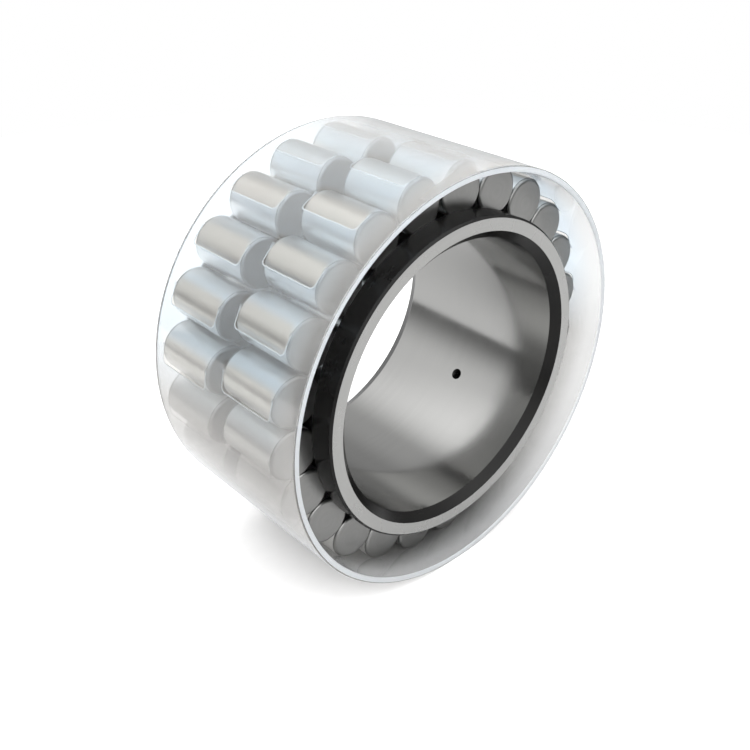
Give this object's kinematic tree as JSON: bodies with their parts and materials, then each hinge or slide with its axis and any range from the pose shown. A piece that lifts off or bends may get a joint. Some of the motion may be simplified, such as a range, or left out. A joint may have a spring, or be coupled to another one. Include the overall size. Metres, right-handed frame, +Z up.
{
  "type": "cylindrical roller bearing",
  "caption": "Full complement cylindrical roller bearing: ribbed inner ring, two rows of loose rollers and a thin translucent transport sleeve; no outer ring.",
  "frame": {"origin": "centre of the whole object's box, on the bearing axis", "axes": "+Y along the bearing axis, from the front face towards the rear face; +Z up as the bearing lies on its side"},
  "size_m": [0.0746, 0.0406, 0.0746],
  "materials": {
    "ring_steel": "ground bearing steel, with black as-hardened ribs and bore chamfers",
    "roller_steel": "fine ground bearing steel, light satin",
    "sleeve_plastic": "milky translucent polyethylene, smooth"
  },
  "bodies": {
    "ring": {"inner_ring": "ring_steel"},
    "front_row": {"front_roller_01": "roller_steel"},
    "front_roller_02": {"front_roller_02": "roller_steel"},
    "front_roller_03": {"front_roller_03": "roller_steel"},
    "front_roller_04": {"front_roller_04": "roller_steel"},
    "front_roller_05": {"front_roller_05": "roller_steel"},
    "front_roller_06": {"front_roller_06": "roller_steel"},
    "front_roller_07": {"front_roller_07": "roller_steel"},
    "front_roller_08": {"front_roller_08": "roller_steel"},
    "front_roller_09": {"front_roller_09": "roller_steel"},
    "front_roller_10": {"front_roller_10": "roller_steel"},
    "front_roller_11": {"front_roller_11": "roller_steel"},
    "front_roller_12": {"front_roller_12": "roller_steel"},
    "front_roller_13": {"front_roller_13": "roller_steel"},
    "front_roller_14": {"front_roller_14": "roller_steel"},
    "front_roller_15": {"front_roller_15": "roller_steel"},
    "front_roller_16": {"front_roller_16": "roller_steel"},
    "front_roller_17": {"front_roller_17": "roller_steel"},
    "front_roller_18": {"front_roller_18": "roller_steel"},
    "front_roller_19": {"front_roller_19": "roller_steel"},
    "front_roller_20": {"front_roller_20": "roller_steel"},
    "front_roller_21": {"front_roller_21": "roller_steel"},
    "front_roller_22": {"front_roller_22": "roller_steel"},
    "front_roller_23": {"front_roller_23": "roller_steel"},
    "rear_row": {"rear_roller_01": "roller_steel"},
    "rear_roller_02": {"rear_roller_02": "roller_steel"},
    "rear_roller_03": {"rear_roller_03": "roller_steel"},
    "rear_roller_04": {"rear_roller_04": "roller_steel"},
    "rear_roller_05": {"rear_roller_05": "roller_steel"},
    "rear_roller_06": {"rear_roller_06": "roller_steel"},
    "rear_roller_07": {"rear_roller_07": "roller_steel"},
    "rear_roller_08": {"rear_roller_08": "roller_steel"},
    "rear_roller_09": {"rear_roller_09": "roller_steel"},
    "rear_roller_10": {"rear_roller_10": "roller_steel"},
    "rear_roller_11": {"rear_roller_11": "roller_steel"},
    "rear_roller_12": {"rear_roller_12": "roller_steel"},
    "rear_roller_13": {"rear_roller_13": "roller_steel"},
    "rear_roller_14": {"rear_roller_14": "roller_steel"},
    "rear_roller_15": {"rear_roller_15": "roller_steel"},
    "rear_roller_16": {"rear_roller_16": "roller_steel"},
    "rear_roller_17": {"rear_roller_17": "roller_steel"},
    "rear_roller_18": {"rear_roller_18": "roller_steel"},
    "rear_roller_19": {"rear_roller_19": "roller_steel"},
    "rear_roller_20": {"rear_roller_20": "roller_steel"},
    "rear_roller_21": {"rear_roller_21": "roller_steel"},
    "rear_roller_22": {"rear_roller_22": "roller_steel"},
    "rear_roller_23": {"rear_roller_23": "roller_steel"},
    "sleeve": {"transport_sleeve": "sleeve_plastic"}
  },
  "joints": [
    {"name": "front_row_orbit", "type": "hinge", "parent": "ring", "child": "front_row", "pos_m": [0, -0.00758, 0], "axis": [0, 1, 0], "continuous": true},
    {"name": "front_roller_02_spin", "type": "hinge", "parent": "front_row", "child": "front_roller_02", "pos_m": [-0.00635, -0.00758, 0.03128], "axis": [0, 1, 0], "continuous": true},
    {"name": "front_roller_03_spin", "type": "hinge", "parent": "front_row", "child": "front_roller_03", "pos_m": [-0.01491, -0.00758, 0.02822], "axis": [0, 1, 0], "continuous": true},
    {"name": "front_roller_04_spin", "type": "hinge", "parent": "front_row", "child": "front_roller_04", "pos_m": [-0.02226, -0.00758, 0.02287], "axis": [0, 1, 0], "continuous": true},
    {"name": "front_roller_05_spin", "type": "hinge", "parent": "front_row", "child": "front_roller_05", "pos_m": [-0.02781, -0.00758, 0.01566], "axis": [0, 1, 0], "continuous": true},
    {"name": "front_roller_06_spin", "type": "hinge", "parent": "front_row", "child": "front_roller_06", "pos_m": [-0.0311, -0.00758, 0.00718], "axis": [0, 1, 0], "continuous": true},
    {"name": "front_roller_07_spin", "type": "hinge", "parent": "front_row", "child": "front_roller_07", "pos_m": [-0.03186, -0.00758, -0.00188], "axis": [0, 1, 0], "continuous": true},
    {"name": "front_roller_08_spin", "type": "hinge", "parent": "front_row", "child": "front_roller_08", "pos_m": [-0.03022, -0.00758, -0.01027], "axis": [0, 1, 0], "continuous": true},
    {"name": "front_roller_09_spin", "type": "hinge", "parent": "front_row", "child": "front_roller_09", "pos_m": [-0.02641, -0.00758, -0.01792], "axis": [0, 1, 0], "continuous": true},
    {"name": "front_roller_10_spin", "type": "hinge", "parent": "front_row", "child": "front_roller_10", "pos_m": [-0.0207, -0.00758, -0.02429], "axis": [0, 1, 0], "continuous": true},
    {"name": "front_roller_11_spin", "type": "hinge", "parent": "front_row", "child": "front_roller_11", "pos_m": [-0.01351, -0.00758, -0.02891], "axis": [0, 1, 0], "continuous": true},
    {"name": "front_roller_12_spin", "type": "hinge", "parent": "front_row", "child": "front_roller_12", "pos_m": [-0.00535, -0.00758, -0.03146], "axis": [0, 1, 0], "continuous": true},
    {"name": "front_roller_13_spin", "type": "hinge", "parent": "front_row", "child": "front_roller_13", "pos_m": [0.0032, -0.00758, -0.03175], "axis": [0, 1, 0], "continuous": true},
    {"name": "front_roller_14_spin", "type": "hinge", "parent": "front_row", "child": "front_roller_14", "pos_m": [0.01151, -0.00758, -0.02977], "axis": [0, 1, 0], "continuous": true},
    {"name": "front_roller_15_spin", "type": "hinge", "parent": "front_row", "child": "front_roller_15", "pos_m": [0.019, -0.00758, -0.02564], "axis": [0, 1, 0], "continuous": true},
    {"name": "front_roller_16_spin", "type": "hinge", "parent": "front_row", "child": "front_roller_16", "pos_m": [0.02513, -0.00758, -0.01968], "axis": [0, 1, 0], "continuous": true},
    {"name": "front_roller_17_spin", "type": "hinge", "parent": "front_row", "child": "front_roller_17", "pos_m": [0.02945, -0.00758, -0.0123], "axis": [0, 1, 0], "continuous": true},
    {"name": "front_roller_18_spin", "type": "hinge", "parent": "front_row", "child": "front_roller_18", "pos_m": [0.03166, -0.00758, -0.00404], "axis": [0, 1, 0], "continuous": true},
    {"name": "front_roller_19_spin", "type": "hinge", "parent": "front_row", "child": "front_roller_19", "pos_m": [0.03159, -0.00758, 0.00451], "axis": [0, 1, 0], "continuous": true},
    {"name": "front_roller_20_spin", "type": "hinge", "parent": "front_row", "child": "front_roller_20", "pos_m": [0.02926, -0.00758, 0.01273], "axis": [0, 1, 0], "continuous": true},
    {"name": "front_roller_21_spin", "type": "hinge", "parent": "front_row", "child": "front_roller_21", "pos_m": [0.02483, -0.00758, 0.02005], "axis": [0, 1, 0], "continuous": true},
    {"name": "front_roller_22_spin", "type": "hinge", "parent": "front_row", "child": "front_roller_22", "pos_m": [0.01862, -0.00758, 0.02592], "axis": [0, 1, 0], "continuous": true},
    {"name": "front_roller_23_spin", "type": "hinge", "parent": "front_row", "child": "front_roller_23", "pos_m": [0.01107, -0.00758, 0.02993], "axis": [0, 1, 0], "continuous": true},
    {"name": "rear_row_orbit", "type": "hinge", "parent": "ring", "child": "rear_row", "pos_m": [0, 0.00923, 0], "axis": [0, 1, 0], "continuous": true},
    {"name": "rear_roller_02_spin", "type": "hinge", "parent": "rear_row", "child": "rear_roller_02", "pos_m": [-0.00803, 0.00923, 0.03089], "axis": [0, 1, 0], "continuous": true},
    {"name": "rear_roller_03_spin", "type": "hinge", "parent": "rear_row", "child": "rear_roller_03", "pos_m": [-0.01642, 0.00923, 0.02737], "axis": [0, 1, 0], "continuous": true},
    {"name": "rear_roller_04_spin", "type": "hinge", "parent": "rear_row", "child": "rear_roller_04", "pos_m": [-0.02347, 0.00923, 0.02163], "axis": [0, 1, 0], "continuous": true},
    {"name": "rear_roller_05_spin", "type": "hinge", "parent": "rear_row", "child": "rear_roller_05", "pos_m": [-0.02862, 0.00923, 0.01413], "axis": [0, 1, 0], "continuous": true},
    {"name": "rear_roller_06_spin", "type": "hinge", "parent": "rear_row", "child": "rear_roller_06", "pos_m": [-0.03144, 0.00923, 0.00549], "axis": [0, 1, 0], "continuous": true},
    {"name": "rear_roller_07_spin", "type": "hinge", "parent": "rear_row", "child": "rear_roller_07", "pos_m": [-0.03171, 0.00923, -0.0036], "axis": [0, 1, 0], "continuous": true},
    {"name": "rear_roller_08_spin", "type": "hinge", "parent": "rear_row", "child": "rear_roller_08", "pos_m": [-0.02962, 0.00923, -0.01189], "axis": [0, 1, 0], "continuous": true},
    {"name": "rear_roller_09_spin", "type": "hinge", "parent": "rear_row", "child": "rear_roller_09", "pos_m": [-0.0254, 0.00923, -0.01932], "axis": [0, 1, 0], "continuous": true},
    {"name": "rear_roller_10_spin", "type": "hinge", "parent": "rear_row", "child": "rear_roller_10", "pos_m": [-0.01936, 0.00923, -0.02537], "axis": [0, 1, 0], "continuous": true},
    {"name": "rear_roller_11_spin", "type": "hinge", "parent": "rear_row", "child": "rear_roller_11", "pos_m": [-0.01193, 0.00923, -0.0296], "axis": [0, 1, 0], "continuous": true},
    {"name": "rear_roller_12_spin", "type": "hinge", "parent": "rear_row", "child": "rear_roller_12", "pos_m": [-0.00364, 0.00923, -0.03171], "axis": [0, 1, 0], "continuous": true},
    {"name": "rear_roller_13_spin", "type": "hinge", "parent": "rear_row", "child": "rear_roller_13", "pos_m": [0.00491, 0.00923, -0.03154], "axis": [0, 1, 0], "continuous": true},
    {"name": "rear_roller_14_spin", "type": "hinge", "parent": "rear_row", "child": "rear_roller_14", "pos_m": [0.0131, 0.00923, -0.0291], "axis": [0, 1, 0], "continuous": true},
    {"name": "rear_roller_15_spin", "type": "hinge", "parent": "rear_row", "child": "rear_roller_15", "pos_m": [0.02036, 0.00923, -0.02458], "axis": [0, 1, 0], "continuous": true},
    {"name": "rear_roller_16_spin", "type": "hinge", "parent": "rear_row", "child": "rear_roller_16", "pos_m": [0.02615, 0.00923, -0.01829], "axis": [0, 1, 0], "continuous": true},
    {"name": "rear_roller_17_spin", "type": "hinge", "parent": "rear_row", "child": "rear_roller_17", "pos_m": [0.03007, 0.00923, -0.01069], "axis": [0, 1, 0], "continuous": true},
    {"name": "rear_roller_18_spin", "type": "hinge", "parent": "rear_row", "child": "rear_roller_18", "pos_m": [0.03183, 0.00923, -0.00232], "axis": [0, 1, 0], "continuous": true},
    {"name": "rear_roller_19_spin", "type": "hinge", "parent": "rear_row", "child": "rear_roller_19", "pos_m": [0.0313, 0.00923, 0.00621], "axis": [0, 1, 0], "continuous": true},
    {"name": "rear_roller_20_spin", "type": "hinge", "parent": "rear_row", "child": "rear_roller_20", "pos_m": [0.02853, 0.00923, 0.0143], "axis": [0, 1, 0], "continuous": true},
    {"name": "rear_roller_21_spin", "type": "hinge", "parent": "rear_row", "child": "rear_roller_21", "pos_m": [0.02371, 0.00923, 0.02136], "axis": [0, 1, 0], "continuous": true},
    {"name": "rear_roller_22_spin", "type": "hinge", "parent": "rear_row", "child": "rear_roller_22", "pos_m": [0.01719, 0.00923, 0.02689], "axis": [0, 1, 0], "continuous": true},
    {"name": "rear_roller_23_spin", "type": "hinge", "parent": "rear_row", "child": "rear_roller_23", "pos_m": [0.00944, 0.00923, 0.03049], "axis": [0, 1, 0], "continuous": true},
    {"name": "sleeve_slide", "type": "slide", "parent": "ring", "child": "sleeve", "axis": [0, -1, 0], "range_m": [-0.045, 0.04]}
  ],
  "couplings": [
    {"joint": "front_roller_02_spin", "follows": "front_row_orbit", "ratio": 6.5094},
    {"joint": "front_roller_03_spin", "follows": "front_row_orbit", "ratio": 6.5094},
    {"joint": "front_roller_04_spin", "follows": "front_row_orbit", "ratio": 6.5094},
    {"joint": "front_roller_05_spin", "follows": "front_row_orbit", "ratio": 6.5094},
    {"joint": "front_roller_06_spin", "follows": "front_row_orbit", "ratio": 6.5094},
    {"joint": "front_roller_07_spin", "follows": "front_row_orbit", "ratio": 6.5094},
    {"joint": "front_roller_08_spin", "follows": "front_row_orbit", "ratio": 6.5094},
    {"joint": "front_roller_09_spin", "follows": "front_row_orbit", "ratio": 6.5094},
    {"joint": "front_roller_10_spin", "follows": "front_row_orbit", "ratio": 6.5094},
    {"joint": "front_roller_11_spin", "follows": "front_row_orbit", "ratio": 6.5094},
    {"joint": "front_roller_12_spin", "follows": "front_row_orbit", "ratio": 6.5094},
    {"joint": "front_roller_13_spin", "follows": "front_row_orbit", "ratio": 6.5094},
    {"joint": "front_roller_14_spin", "follows": "front_row_orbit", "ratio": 6.5094},
    {"joint": "front_roller_15_spin", "follows": "front_row_orbit", "ratio": 6.5094},
    {"joint": "front_roller_16_spin", "follows": "front_row_orbit", "ratio": 6.5094},
    {"joint": "front_roller_17_spin", "follows": "front_row_orbit", "ratio": 6.5094},
    {"joint": "front_roller_18_spin", "follows": "front_row_orbit", "ratio": 6.5094},
    {"joint": "front_roller_19_spin", "follows": "front_row_orbit", "ratio": 6.5094},
    {"joint": "front_roller_20_spin", "follows": "front_row_orbit", "ratio": 6.5094},
    {"joint": "front_roller_21_spin", "follows": "front_row_orbit", "ratio": 6.5094},
    {"joint": "front_roller_22_spin", "follows": "front_row_orbit", "ratio": 6.5094},
    {"joint": "front_roller_23_spin", "follows": "front_row_orbit", "ratio": 6.5094},
    {"joint": "rear_roller_02_spin", "follows": "rear_row_orbit", "ratio": 6.5094},
    {"joint": "rear_roller_03_spin", "follows": "rear_row_orbit", "ratio": 6.5094},
    {"joint": "rear_roller_04_spin", "follows": "rear_row_orbit", "ratio": 6.5094},
    {"joint": "rear_roller_05_spin", "follows": "rear_row_orbit", "ratio": 6.5094},
    {"joint": "rear_roller_06_spin", "follows": "rear_row_orbit", "ratio": 6.5094},
    {"joint": "rear_roller_07_spin", "follows": "rear_row_orbit", "ratio": 6.5094},
    {"joint": "rear_roller_08_spin", "follows": "rear_row_orbit", "ratio": 6.5094},
    {"joint": "rear_roller_09_spin", "follows": "rear_row_orbit", "ratio": 6.5094},
    {"joint": "rear_roller_10_spin", "follows": "rear_row_orbit", "ratio": 6.5094},
    {"joint": "rear_roller_11_spin", "follows": "rear_row_orbit", "ratio": 6.5094},
    {"joint": "rear_roller_12_spin", "follows": "rear_row_orbit", "ratio": 6.5094},
    {"joint": "rear_roller_13_spin", "follows": "rear_row_orbit", "ratio": 6.5094},
    {"joint": "rear_roller_14_spin", "follows": "rear_row_orbit", "ratio": 6.5094},
    {"joint": "rear_roller_15_spin", "follows": "rear_row_orbit", "ratio": 6.5094},
    {"joint": "rear_roller_16_spin", "follows": "rear_row_orbit", "ratio": 6.5094},
    {"joint": "rear_roller_17_spin", "follows": "rear_row_orbit", "ratio": 6.5094},
    {"joint": "rear_roller_18_spin", "follows": "rear_row_orbit", "ratio": 6.5094},
    {"joint": "rear_roller_19_spin", "follows": "rear_row_orbit", "ratio": 6.5094},
    {"joint": "rear_roller_20_spin", "follows": "rear_row_orbit", "ratio": 6.5094},
    {"joint": "rear_roller_21_spin", "follows": "rear_row_orbit", "ratio": 6.5094},
    {"joint": "rear_roller_22_spin", "follows": "rear_row_orbit", "ratio": 6.5094},
    {"joint": "rear_roller_23_spin", "follows": "rear_row_orbit", "ratio": 6.5094}
  ]
}
